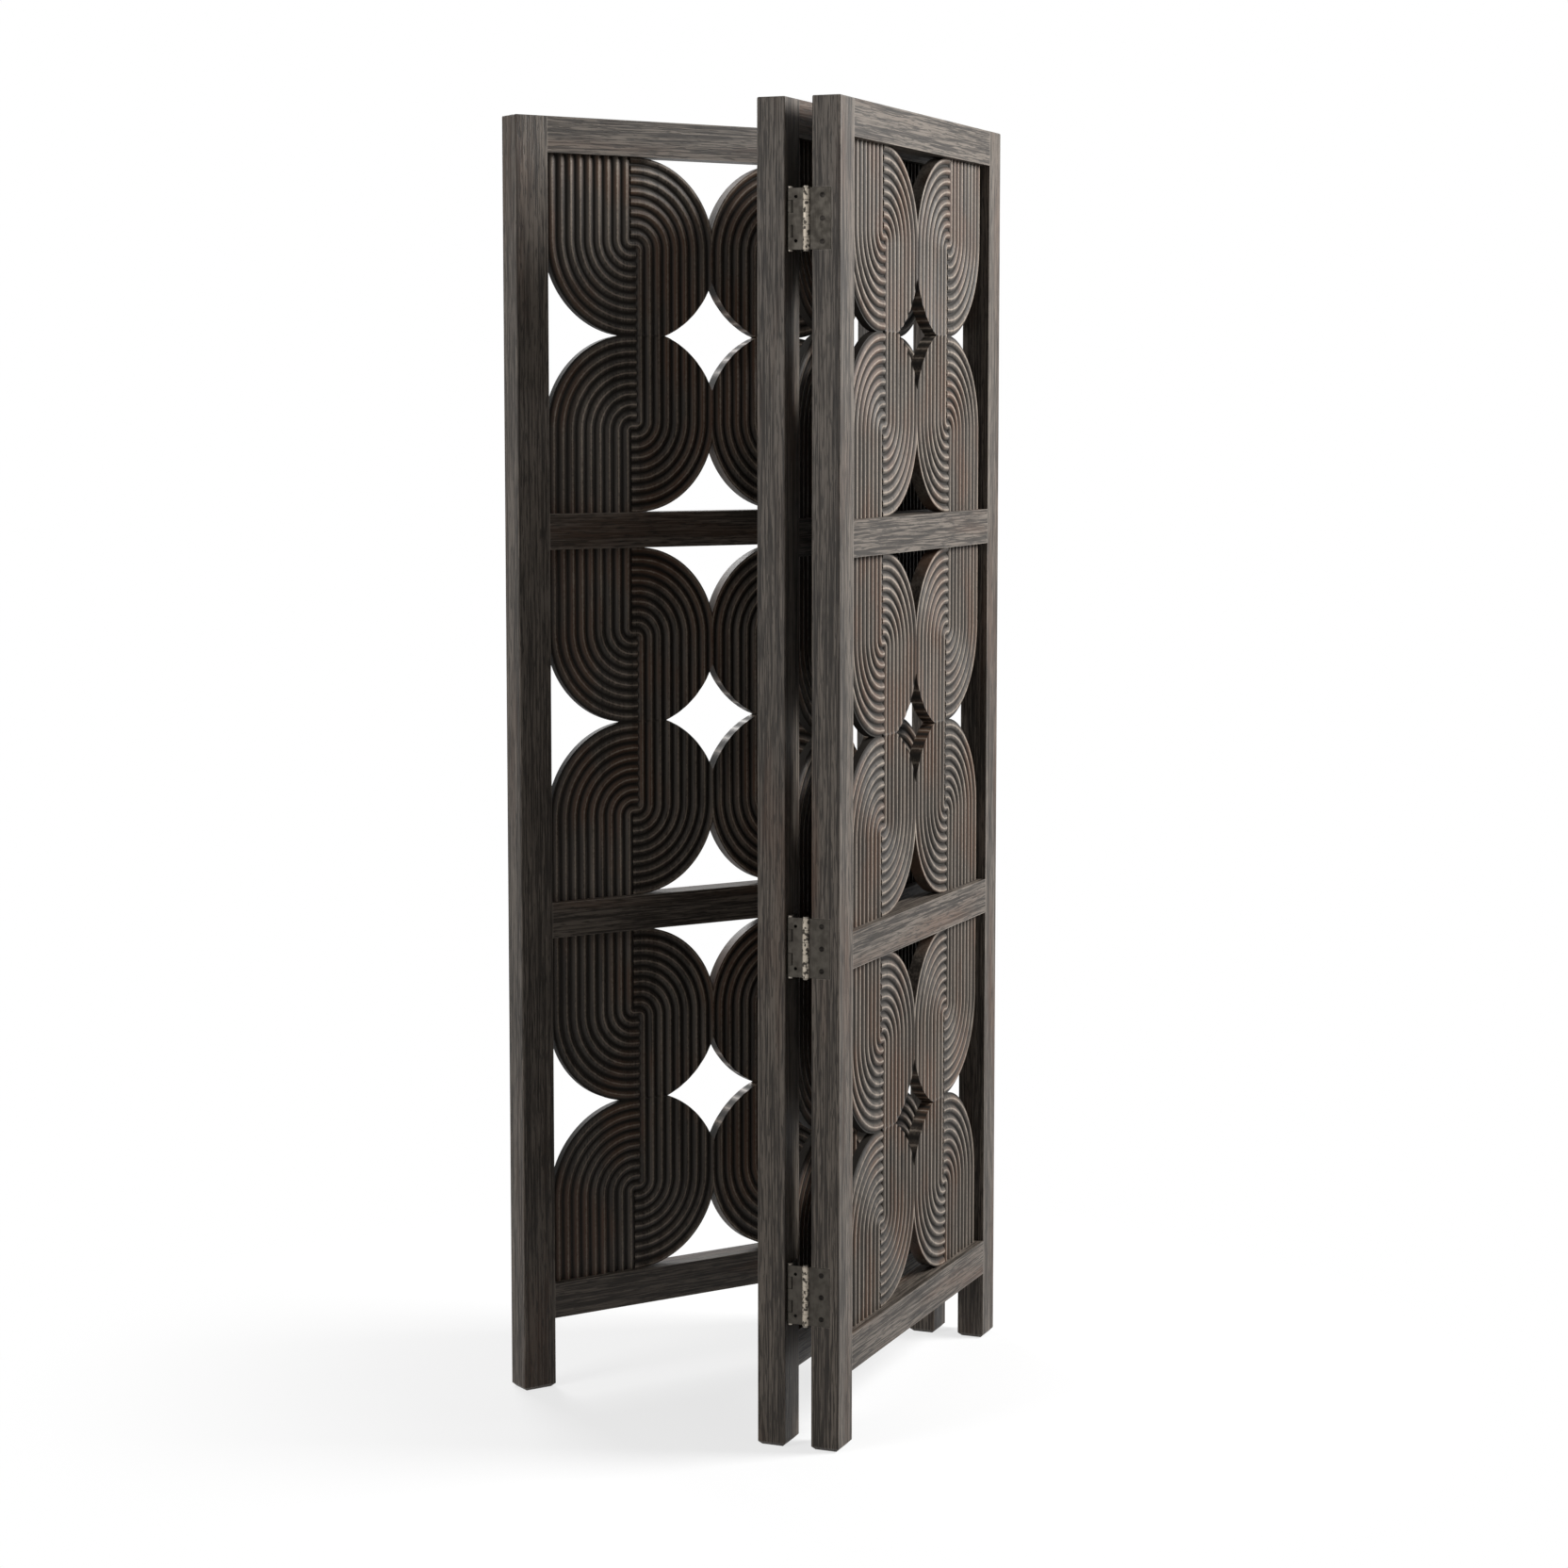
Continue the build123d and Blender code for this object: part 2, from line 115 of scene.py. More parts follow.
# %% Sizes of the carving, in metres
RIB_PITCH = 0.015        # crest to crest
RIB_COUNT = 9            # ribs between a disc's centre and its edge
RIB_WIDTH = 0.013        # the round part; the rest of the pitch is a flat groove
RIB_DEPTH = 0.0037       # crest to groove
LOWER_LAND = 0.001       # plain edge outside the last lower rib
UPPER_LAND = 0.0025      # plain edge outside the last upper rib's crest
COLUMN_OVERLAP = 0.004   # how far a disc reaches past the panel's centre line
SLAB_THICKNESS = 0.018
HALF_BAY = 0.25          # bay's middle height to the rail
SEAM_SHIFT = 0.003       # how far the last upper rib is cut back at the centre line

lower_radius = RIB_COUNT * RIB_PITCH + LOWER_LAND
upper_radius = (RIB_COUNT - 1 / 2) * RIB_PITCH + UPPER_LAND
lower_height = RIB_COUNT * RIB_PITCH       # the centre that the left ribs turn below
upper_height = lower_height - RIB_PITCH    # the centre that the right ribs turn above
right_seam = COLUMN_OVERLAP - (RIB_COUNT - 1 / 2) * RIB_PITCH - SEAM_SHIFT
left_seam = right_seam - RIB_PITCH / 2
edge_height = (lower_height + upper_height) / 2
print("disc radii", lower_radius, upper_radius, "seams", left_seam, right_seam)

# %% [markdown]
# Each rib is a round moulding. Its cross section is an arc of a circle, a little
# narrower than the pitch, and a flat groove two millimetres wide is left between
# neighbours, as a narrow gouge leaves it. Rows are set closer together near the
# grooves, where the surface turns fastest.

# %% The rib's cross section
ROWS_TO_CREST = 7        # rows from a groove up to its crest
TINY = 1e-9              # keeps clear of a division by zero and of a pitch rounded down
ROW_GAP = 1e-4           # a plain row this close to a named one is left out

groove_share = (RIB_PITCH - RIB_WIDTH) / 2 / RIB_PITCH
rising = [groove_share + (0.5 - groove_share) * (1 - math.cos(turn)) for turn in
          np.linspace(0, math.pi / 2, ROWS_TO_CREST)]
rows_in_a_rib = [0.0] + rising + [1 - share for share in rising[-2::-1]]
rib_radius = ((RIB_WIDTH / 2) ** 2 + RIB_DEPTH ** 2) / (2 * RIB_DEPTH)


def crest_share(distance):
    """1 on a crest and 0 in a groove, going straight between them."""
    across = np.mod(distance / RIB_PITCH + TINY, 1.0)
    return 1 - np.abs(2 * across - 1)


def depth_below_crest(distance):
    """How far a circle's arc has fallen, at this distance from its crest."""
    sideways = np.minimum((1 - crest_share(distance)) * RIB_PITCH, RIB_WIDTH) / 2
    return rib_radius - np.sqrt(rib_radius ** 2 - sideways ** 2)


def row_distances(last, extra):
    """Rows across the ribs up to the last distance, with some named ones twice."""
    whole = [(rib + row) * RIB_PITCH for rib in range(RIB_COUNT) for row in rows_in_a_rib]
    kept = [d for d in whole if d < last and all(abs(d - e) > ROW_GAP for e in extra)]
    return np.array(sorted(kept + [e for e in extra for _ in range(2)] + [last]))


print("rib arc radius", round(rib_radius * 1000, 2), "mm")

# %% [markdown]
# A family's path has three stretches: straight, a quarter circle, straight. At
# some distances a stretch ends, for example where the disc is cut by the
# panel's centre line. That distance is listed twice, once with the stretch and
# once with it shrunk to a point, so the mesh gets a clean edge there. The
# shrunk faces vanish when equal points are welded. Where straight ribs run out
# over the disc's rounded edge, the carver stops the gouge just short of it, so
# the grooves fade out there and the outline stays smooth.

# %% The two families of ribs
ARC_STEPS = 24
RIM = 0.003              # the grooves fade out this close to the rounded edge
RIM_DEPTH_SHARE = 0.1    # how much of their depth is left on the edge itself


def lower_left_family():
    """Ribs left of the seams: down from the rail, round below their centre, to the right.

    A point at distance d is (left_seam - d cos a, lower_height - d sin a) on the
    arc, with a from 0 to a right angle, or to where the arc meets the bay's middle.
    """
    neck = lower_height
    distance = row_distances(lower_radius, [neck])
    open_neck = np.arange(len(distance)) <= np.flatnonzero(distance == neck)[0]
    last_angle = np.arcsin(np.minimum(neck / np.maximum(distance, TINY), 1.0))
    angle = last_angle[:, None] * np.linspace(0, 1, ARC_STEPS + 1)
    arc_x = left_seam - distance[:, None] * np.cos(angle)
    arc_z = lower_height - distance[:, None] * np.sin(angle)
    end_x = np.where(open_neck, right_seam, arc_x[:, -1])
    x = np.column_stack([arc_x[:, 0], arc_x, end_x])
    z = np.column_stack([np.full(len(distance), HALF_BAY), arc_z, arc_z[:, -1]])
    return distance, x, z, np.ones(x.shape)


def upper_right_family():
    """Ribs right of the seams: up from the neck, round above their centre, to the left.

    A point at distance d is (right_seam + d cos a, upper_height + d sin a) on the
    arc, with a from where it clears the panel's centre line to a right angle.
    """
    crossing = -right_seam
    neck = math.sqrt(lower_radius ** 2 - edge_height ** 2)
    distance = row_distances(upper_radius, [RIB_PITCH, crossing])
    distance = np.sort(np.append(distance, neck))
    order = np.arange(len(distance))
    has_foot = order <= np.flatnonzero(distance == crossing)[0]
    has_arm = order > np.flatnonzero(distance == RIB_PITCH)[0]
    first_angle = np.arccos(np.minimum(crossing / np.maximum(distance, TINY), 1.0))
    share = np.linspace(0, 1, ARC_STEPS + 1)
    angle = first_angle[:, None] + (math.pi / 2 - first_angle[:, None]) * share
    arc_x = right_seam + distance[:, None] * np.cos(angle)
    arc_z = upper_height + distance[:, None] * np.sin(angle)
    edge = edge_height - np.sqrt(lower_radius ** 2 - distance ** 2)
    foot_z = np.where(has_foot, np.maximum(edge, 0), arc_z[:, 0])
    arm_x = np.where(has_arm, left_seam, arc_x[:, -1])
    rim_z = np.minimum(foot_z + RIM, arc_z[:, 0])
    x = np.column_stack([arc_x[:, 0], arc_x[:, 0], arc_x, arm_x])
    z = np.column_stack([foot_z, rim_z, arc_z, arc_z[:, -1]])
    depth_share = np.ones(x.shape)
    depth_share[has_foot, 0] = RIM_DEPTH_SHARE
    return distance, x, z, depth_share


for family in (lower_left_family, upper_right_family):
    distance, x, z, depth_share = family()
    print(family.__name__, "grid", x.shape, "x", x.min().round(4), x.max().round(4),
          "z", z.min().round(4), z.max().round(4))

# %% [markdown]
# A family becomes a closed shell: its ribbed front, the same ribs on the back,
# and a wall round the edge. Four mirrored copies of both families fill a bay.

# %% From a grid to a closed shell
WELD_STEPS = 1e6         # steps to a metre; points that round to the same step are one


def grid_triangles(rows, columns):
    """Two triangles for each square of a grid, all turning the same way."""
    corner = (np.arange(rows - 1)[:, None] * columns + np.arange(columns - 1)).ravel()
    first = np.column_stack([corner, corner + 1, corner + columns])
    second = np.column_stack([corner + 1, corner + columns + 1, corner + columns])
    return np.vstack([first, second])


def grid_edge(rows, columns):
    """The numbers of the points round a grid's edge, once round."""
    index = np.arange(rows * columns).reshape(rows, columns)
    return np.concatenate([index[0, :-1], index[:-1, -1], index[-1, :0:-1], index[:0:-1, 0]])


def family_shell(distance, x, z, depth_share):
    """Points, crest shares and triangles of one closed shell of ribs."""
    across = np.repeat(distance[:, None], x.shape[1], axis=1).ravel()
    front_y = -(SLAB_THICKNESS / 2 - depth_below_crest(across) * depth_share.ravel())
    front = np.column_stack([x.ravel(), front_y, z.ravel()])
    back = front * (1, -1, 1)
    points = np.vstack([front, back])
    crest = np.tile(crest_share(across), 2)
    surface = grid_triangles(*x.shape)
    edge = grid_edge(*x.shape)
    following = np.roll(edge, -1)
    count = len(front)
    wall = np.vstack([
        np.column_stack([edge, following, edge + count]),
        np.column_stack([following, following + count, edge + count]),
    ])
    return points, crest, np.vstack([surface, surface[:, ::-1] + count, wall])


def weld(points, crest, triangles):
    """Joins equal points to a micrometre and drops the triangles that shrank away."""
    _, keep, number = np.unique(np.round(points * WELD_STEPS).astype(int), axis=0,
                                return_index=True, return_inverse=True)
    triangles = number.reshape(-1)[triangles]
    a, b, c = triangles.T
    whole = (a != b) & (b != c) & (c != a)
    return points[keep], crest[keep], triangles[whole]


shells = [weld(*family_shell(*family())) for family in (lower_left_family, upper_right_family)]
print("triangles in the two shells", [len(shell[2]) for shell in shells])

# %% [markdown]
# Every bay holds the same carving, so its arrays are made once. Each copy is
# turned to its panel's heading and takes the place of the plain CAD slab.

# %% One carving for each bay
SHARP_ANGLE = math.radians(40)   # edges that turn further than this stay crisp


def carving_arrays():
    """All eight shells of a bay about the bay's centre, in the panel's own plane."""
    points, crests, triangles, start = [], [], [], 0
    for sign_x in (1, -1):
        for sign_z in (1, -1):
            for shell_points, shell_crest, shell_triangles in shells:
                points.append(shell_points * (sign_x, 1, sign_z))
                crests.append(shell_crest)
                triangles.append(shell_triangles + start)
                start += len(shell_points)
    return np.vstack(points), np.concatenate(crests), np.vstack(triangles)


bay_points, bay_crest, bay_triangles = carving_arrays()


def point_outwards(mesh):
    """Turns every face of the closed shells outwards."""
    shape = bmesh.new()
    shape.from_mesh(mesh)
    bmesh.ops.recalc_face_normals(shape, faces=shape.faces)
    shape.to_mesh(mesh)
    shape.free()


def make_carving(panel, bay, body):
    """A carved slab in place of a CAD node, turned to its panel's heading."""
    node = f"{panel}_{bay}"
    turn = np.array(Matrix.Rotation(headings[panel], 3, "Z"))
    points = bay_points @ turn.T + np.array(box_centre(node))
    mesh = bpy.data.meshes.new(f"{node}_reeded")
    mesh.from_pydata(points, [], bay_triangles)
    share = mesh.attributes.new("crest", "FLOAT", "POINT")
    share.data.foreach_set("value", bay_crest)
    point_outwards(mesh)
    mesh.shade_smooth()
    mesh.set_sharp_from_angle(angle=SHARP_ANGLE)
    piece = bpy.data.objects.new(f"{node}_reeded", mesh)
    bpy.context.scene.collection.objects.link(piece)
    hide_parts(node)
    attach(piece, body)
    return piece


carvings = {panel: [make_carving(panel, bay, stiles[2]) for bay in BAYS]
            for panel, stiles in PANELS.items()}
sample = carvings["middle"][0]
print(sample.name, "triangles", len(sample.data.polygons))

# %% [markdown]
# ## Finishes
#
# The wood is oak with open pores, stained near black and waxed. Its figure is
# three layers on top of each other: broad streaks along the board, fine fibres,
# and short pores. All are noise stretched along the grain. The coordinates are
# turned by the panel's heading first, so the grain follows the board and not
# the room.

# %% Helpers for material nodes
EDGE_MASK_FULL = 0.86         # the normals' dot product at which the edge mask is full
EDGE_SAMPLES = 6


def new_finish(name):
    """An empty material with a Principled shader joined to its output."""
    material = bpy.data.materials.new(name)
    material.use_nodes = True
    tree = material.node_tree
    tree.nodes.clear()
    output = tree.nodes.new("ShaderNodeOutputMaterial")
    shader = tree.nodes.new("ShaderNodeBsdfPrincipled")
    tree.links.new(shader.outputs["BSDF"], output.inputs["Surface"])
    return material, tree, shader


def board_coordinates(tree, heading, scale):
    """Object coordinates turned to a panel's heading, then scaled on each axis."""
    source = tree.nodes.new("ShaderNodeTexCoord")
    turn = tree.nodes.new("ShaderNodeMapping")
    turn.inputs["Rotation"].default_value = (0, 0, -heading)
    stretch = tree.nodes.new("ShaderNodeMapping")
    stretch.inputs["Scale"].default_value = scale
    tree.links.new(source.outputs["Object"], turn.inputs["Vector"])
    tree.links.new(turn.outputs["Vector"], stretch.inputs["Vector"])
    return stretch.outputs["Vector"]


def noise(tree, vector, detail=3.0, distortion=0.0):
    """Noise from 0 to 1 on coordinates that are already scaled."""
    texture = tree.nodes.new("ShaderNodeTexNoise")
    texture.inputs["Scale"].default_value = 1.0
    texture.inputs["Detail"].default_value = detail
    texture.inputs["Distortion"].default_value = distortion
    tree.links.new(vector, texture.inputs["Vector"])
    return texture.outputs["Fac"]


def spread(tree, value, low, high, start=0.0, end=1.0):
    """A smooth step: start below the low value, end above the high one."""
    node = tree.nodes.new("ShaderNodeMapRange")
    node.interpolation_type = "SMOOTHSTEP"
    node.inputs["From Min"].default_value = low
    node.inputs["From Max"].default_value = high
    node.inputs["To Min"].default_value = start
    node.inputs["To Max"].default_value = end
    tree.links.new(value, node.inputs["Value"])
    return node.outputs["Result"]


def combine(tree, operation, first, second):
    """One step of arithmetic; either side is a socket or a number."""
    node = tree.nodes.new("ShaderNodeMath")
    node.operation = operation
    for socket, value in zip(node.inputs, (first, second)):
        if isinstance(value, (int, float)):
            socket.default_value = value
        else:
            tree.links.new(value, socket)
    return node.outputs["Value"]


def weighted(tree, sockets, shares):
    """The sum of some sockets, each times its share."""
    total = None
    for socket, share in zip(sockets, shares):
        part = combine(tree, "MULTIPLY", socket, share)
        total = part if total is None else combine(tree, "ADD", total, part)
    return total


def blend_colour(tree, factor, first, second):
    """Goes from the first colour to the second as the factor goes from 0 to 1."""
    node = tree.nodes.new("ShaderNodeMix")
    node.data_type = "RGBA"
    tree.links.new(factor, node.inputs["Factor"])
    for socket, value in ((node.inputs[6], first), (node.inputs[7], second)):
        if isinstance(value, tuple):
            socket.default_value = (*value, 1.0)
        else:
            tree.links.new(value, socket)
    return node.outputs[2]


def near_an_edge(tree, radius):
    """0 on flat faces, rising to 1 at outer and inner edges within the radius."""
    rounded = tree.nodes.new("ShaderNodeBevel")
    rounded.samples = EDGE_SAMPLES
    rounded.inputs["Radius"].default_value = radius
    geometry = tree.nodes.new("ShaderNodeNewGeometry")
    dot = tree.nodes.new("ShaderNodeVectorMath")
    dot.operation = "DOT_PRODUCT"
    tree.links.new(rounded.outputs["Normal"], dot.inputs[0])
    tree.links.new(geometry.outputs["Normal"], dot.inputs[1])
    return spread(tree, dot.outputs["Value"], EDGE_MASK_FULL, 1.0, 1.0, 0.0)


def add_relief(tree, shader, height, strength, depth):
    """Joins a height to the shader as a fine bump."""
    bump = tree.nodes.new("ShaderNodeBump")
    bump.inputs["Strength"].default_value = strength
    bump.inputs["Distance"].default_value = depth
    tree.links.new(height, bump.inputs["Height"])
    tree.links.new(bump.outputs["Normal"], shader.inputs["Normal"])


def plan_distance(tree, centre):
    """The distance in plan from a centre, in metres."""
    source = tree.nodes.new("ShaderNodeTexCoord")
    centred = tree.nodes.new("ShaderNodeMapping")
    centred.inputs["Location"].default_value = (-centre.x, -centre.y, 0)
    centred.inputs["Scale"].default_value = (1, 1, 0)
    length = tree.nodes.new("ShaderNodeVectorMath")
    length.operation = "LENGTH"
    tree.links.new(source.outputs["Object"], centred.inputs["Vector"])
    tree.links.new(centred.outputs["Vector"], length.inputs[0])
    return length.outputs["Value"]


def seen_directly(tree):
    """1 for rays from the camera and by way of a mirror or glass, 0 for the rest."""
    rays = tree.nodes.new("ShaderNodeLightPath")
    seen = combine(tree, "MAXIMUM", rays.outputs["Is Camera Ray"], rays.outputs["Is Glossy Ray"])
    return combine(tree, "MAXIMUM", seen, rays.outputs["Is Transmission Ray"])


# %% [markdown]
# Stain soaks into the soft bands of the oak and stays thin on the hard ones, so
# the streaks change both colour and shine. Handling rubs it off the corners of
# the boards and the crests of the ribs, where the paler wood shows through. That
# paleness is partly a painted highlight, and the rib grooves get painted shade.

# %% The stained oak
STAIN_DARK = (0.024, 0.019, 0.0148)
STAIN_LIGHT = (0.135, 0.113, 0.093)
STAIN_WARM = (0.1, 0.054, 0.033)
WAX_SHINE = 0.25         # how strongly the thin wax reflects, 0.5 being plain varnish
# Pale board edges: partly real wear, partly a painted highlight
WORN_AND_HIGHLIT_OAK = (0.27, 0.235, 0.2)
# Pale rib crests: partly real wear, partly a painted highlight
RUBBED_AND_HIGHLIT_CREST = (0.32, 0.265, 0.215)
# Dark of the real open pores, and painted shade in the rib grooves
PORE_DARK_AND_GROOVE_SHADE = (0.012, 0.0095, 0.007)

# Noise cycles to a metre, across the grain and along it
STREAKS = (60, 1.6)
GRAIN = (320, 6)
FIBRES = (650, 18)
PORES = (430, 38)
PATCHES = (22, 2.5)
FIGURE_SHARES = (0.17, 0.5, 0.33)   # of streaks, grain and fibres
PORE_STRENGTH = 0.7
BOARD_EDGE = 0.0028                 # how far the pale edge, wear and painted highlight, reaches in from a board's edge
BOARD_RELIEF = (0.35, 0.0004)       # strength and depth of the bump
# The same on the ribs, on all three axes
RIB_STREAKS = (60, 60, 3)
RIB_FIBRES = (420, 420, 9)
RIB_PATCHES = (14, 14, 8)
TOOL_CHATTER = (260, 260, 260)
RIB_FIGURE_SHARES = (0.5, 0.5)      # of streaks and fibres
RIB_RELIEF = (0.4, 0.0005)


def stained_oak(name, heading, upright):
    """Stained oak with its grain along the stiles (upright) or along the rails."""
    def stretched(across, along):
        scale = (across, across, along) if upright else (along, across, across)
        return board_coordinates(tree, heading, scale)

    material, tree, shader = new_finish(name)
    streaks = noise(tree, stretched(*STREAKS), detail=3, distortion=0.5)
    grain = noise(tree, stretched(*GRAIN), detail=3, distortion=0.9)
    fibres = noise(tree, stretched(*FIBRES), detail=2)
    pores = noise(tree, stretched(*PORES), detail=2)
    patches = noise(tree, stretched(*PATCHES), detail=2)

    figure = weighted(tree, (streaks, grain, fibres), FIGURE_SHARES)
    colour = blend_colour(tree, spread(tree, figure, 0.44, 0.57), STAIN_DARK, STAIN_LIGHT)
    warm = spread(tree, patches, 0.48, 0.75, 0.0, 0.5)
    colour = blend_colour(tree, warm, colour, STAIN_WARM)
    pore_mask = spread(tree, pores, 0.53, 0.63)
    pore_shade = combine(tree, "MULTIPLY", pore_mask, PORE_STRENGTH)
    colour = blend_colour(tree, pore_shade, colour, PORE_DARK_AND_GROOVE_SHADE)
    # Edges made pale: partly real wear, partly a painted highlight
    rubbed = combine(tree, "MULTIPLY", near_an_edge(tree, BOARD_EDGE),
                     spread(tree, streaks, 0.35, 0.65, 0.15, 0.7))
    colour = blend_colour(tree, rubbed, colour, WORN_AND_HIGHLIT_OAK)
    tree.links.new(colour, shader.inputs["Base Color"])
    tree.links.new(spread(tree, figure, 0.3, 0.7, 0.58, 0.44), shader.inputs["Roughness"])
    shader.inputs["Specular IOR Level"].default_value = WAX_SHINE

    relief = combine(tree, "SUBTRACT", combine(tree, "MULTIPLY", fibres, 0.5), pore_mask)
    add_relief(tree, shader, relief, *BOARD_RELIEF)
    return material


def carved_oak(name, heading):
    """Stained oak on the ribs: painted shade in the grooves, and crests rubbed pale, partly wear and
    partly a painted highlight.
    """
    material, tree, shader = new_finish(name)
    fibres = noise(tree, board_coordinates(tree, heading, RIB_FIBRES), detail=3)
    streaks = noise(tree, board_coordinates(tree, heading, RIB_STREAKS), detail=4, distortion=0.6)
    patches = noise(tree, board_coordinates(tree, heading, RIB_PATCHES), detail=2)
    chatter = noise(tree, board_coordinates(tree, heading, TOOL_CHATTER), detail=2)
    crest = tree.nodes.new("ShaderNodeAttribute")
    crest.attribute_name = "crest"
    height = crest.outputs["Fac"]

    figure = weighted(tree, (streaks, fibres), RIB_FIGURE_SHARES)
    colour = blend_colour(tree, spread(tree, figure, 0.36, 0.66), STAIN_DARK, STAIN_LIGHT)
    warm = spread(tree, patches, 0.42, 0.66, 0.0, 0.8)
    colour = blend_colour(tree, warm, colour, STAIN_WARM)
    # Painted shade: the ribs darken from near the crest down into the groove
    colour = blend_colour(tree, spread(tree, height, 0.08, 0.85), PORE_DARK_AND_GROOVE_SHADE, colour)
    # Crests made pale: partly real wear, partly a painted highlight
    ragged = combine(tree, "ADD", height, combine(tree, "MULTIPLY", chatter, 0.3))
    rubbed = combine(tree, "MULTIPLY", spread(tree, ragged, 0.92, 1.12),
                     spread(tree, streaks, 0.3, 0.7, 0.5, 1.0))
    colour = blend_colour(tree, rubbed, colour, RUBBED_AND_HIGHLIT_CREST)
    tree.links.new(colour, shader.inputs["Base Color"])
    tree.links.new(spread(tree, height, 0.2, 1.0, 0.65, 0.45), shader.inputs["Roughness"])
    shader.inputs["Specular IOR Level"].default_value = WAX_SHINE
    add_relief(tree, shader, combine(tree, "ADD", fibres, chatter), *RIB_RELIEF)
    return material


def dress(node, material):
    """Puts a finish on every material slot of a CAD node's object."""
    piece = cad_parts[node]
    if not piece.material_slots:
        piece.data.materials.append(material)
    for slot in piece.material_slots:
        slot.material = material


for panel, (first_stile, second_stile, _) in PANELS.items():
    upright = stained_oak(f"{panel}_stile_oak", headings[panel], upright=True)
    level = stained_oak(f"{panel}_rail_oak", headings[panel], upright=False)
    ribbed = carved_oak(f"{panel}_carved_oak", headings[panel])
    dress(first_stile, upright)
    dress(second_stile, upright)
    for rail in RAILS:
        dress(f"{panel}_{rail}", level)
    for carving in carvings[panel]:
        carving.data.materials.append(ribbed)
print("wood finishes", len(PANELS) * 3)

# %% [markdown]
# The hinges are plain steel that has darkened to a brownish grey. The knuckles
# get a painted highlight, brighter than the flats, so they are found by their distance
# from the pins. The screws are blackened and a little paler at their edges.

# %% Where the knuckles are
KNUCKLE_REACH = (0.0044, 0.0049)   # from a pin's axis, just past the knuckle's radius
# Painted highlight on the knuckles
PAINTED_KNUCKLE_HIGHLIGHT = (0.4, 0.355, 0.295)
pin_axes = [box_centre(node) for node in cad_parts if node.endswith("outer_pins")]
print("pin axes in plan", [(round(axis.x, 4), round(axis.y, 4)) for axis in pin_axes])


def on_a_knuckle(tree):
    """1 near a pin's axis in plan, 0 on the flats: a step on the nearest axis's distance."""
    nearest = None
    for axis in pin_axes:
        distance = plan_distance(tree, axis)
        nearest = distance if nearest is None else combine(tree, "MINIMUM", nearest, distance)
    return spread(tree, nearest, *KNUCKLE_REACH, 1.0, 0.0)


# %% The hinge metal
TARNISH_CLOUDS = (90, 90, 90)       # noise cycles to a metre on each axis
SCRATCHES = (1500, 1500, 60)
KNUCKLE_BANDS = (200, 200, 170)
METAL_FIGURE_SHARES = (0.7, 0.3)    # of clouds and scratches
METAL_EDGE = 0.0007                 # how far wear reaches in from an edge
METAL_RELIEF = (0.2, 0.0002)
DULLER = 0.12                       # added to the roughness where the tarnish is dark
BRIGHTER = 0.06                     # taken off it where the tarnish is light


def aged_steel(name, dark, light, roughness, worn_edge, highlit_knuckles=False):
    """Steel with cloudy tarnish, fine scratches and a rubbed or dark edge."""
    material, tree, shader = new_finish(name)
    clouds = noise(tree, board_coordinates(tree, 0, TARNISH_CLOUDS), detail=5)
    scratches = noise(tree, board_coordinates(tree, 0, SCRATCHES), detail=2)
    figure = weighted(tree, (clouds, scratches), METAL_FIGURE_SHARES)
    colour = blend_colour(tree, spread(tree, figure, 0.38, 0.64), dark, light)
    # Painted highlight: the knuckles are made paler than the flats
    if highlit_knuckles:
        bands = noise(tree, board_coordinates(tree, 0, KNUCKLE_BANDS), detail=1)
        bright = combine(tree, "MULTIPLY", on_a_knuckle(tree), spread(tree, bands, 0.38, 0.5))
        colour = blend_colour(tree, bright, colour, PAINTED_KNUCKLE_HIGHLIGHT)
    colour = blend_colour(tree, near_an_edge(tree, METAL_EDGE), colour, worn_edge)
    tree.links.new(colour, shader.inputs["Base Color"])
    shader.inputs["Metallic"].default_value = 1.0
    shine = spread(tree, figure, 0.35, 0.65, roughness + DULLER, roughness - BRIGHTER)
    tree.links.new(shine, shader.inputs["Roughness"])
    add_relief(tree, shader, figure, *METAL_RELIEF)
    return material


leaf_steel = aged_steel("tarnished_leaf_steel", (0.05, 0.0445, 0.038), (0.061, 0.055, 0.047),
                        0.6, (0.02, 0.018, 0.015), highlit_knuckles=True)
pin_steel = aged_steel("rubbed_pin_steel", (0.12, 0.105, 0.09), (0.3, 0.27, 0.23),
                       0.4, (0.35, 0.32, 0.27))
screw_steel = aged_steel("blackened_screw_steel", (0.01, 0.009, 0.008), (0.02, 0.018, 0.016),
                         0.5, (0.035, 0.031, 0.027))
metal_finishes = {"leaf": leaf_steel, "plate": leaf_steel, "pins": pin_steel,
                  "screws": screw_steel}
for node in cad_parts:
    ending = node.split("_")[-1]
    if ending in metal_finishes:
        dress(node, metal_finishes[ending])
print("metal nodes", sum(node.split("_")[-1] in metal_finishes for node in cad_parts))

# %% [markdown]
# ## Light, floor and camera
#
# The screen stands in a white studio: a pale floor, faint light from all round
# and three large soft lamps. The floor shows plain white far from the screen and
# keeps its shadows near it. What it throws back on the screen is darker than it
# looks, so that the undersides stay as dark as stained wood is.

# %% The floor
FLOOR_SIZE = 14.0
SHADOW_REACH = (0.35, 1.1)   # radii between which the floor turns plain white
SHADOW_SOFTENING = 0.72      # share of plain white mixed in under the screen
FLOOR_WHITE = (0.93, 0.93, 0.93)
FLOOR_BOUNCE = (0.3, 0.3, 0.3)   # what the floor throws back on the screen
screen_middle = (Vector(cad_low) + Vector(cad_high)) / 2


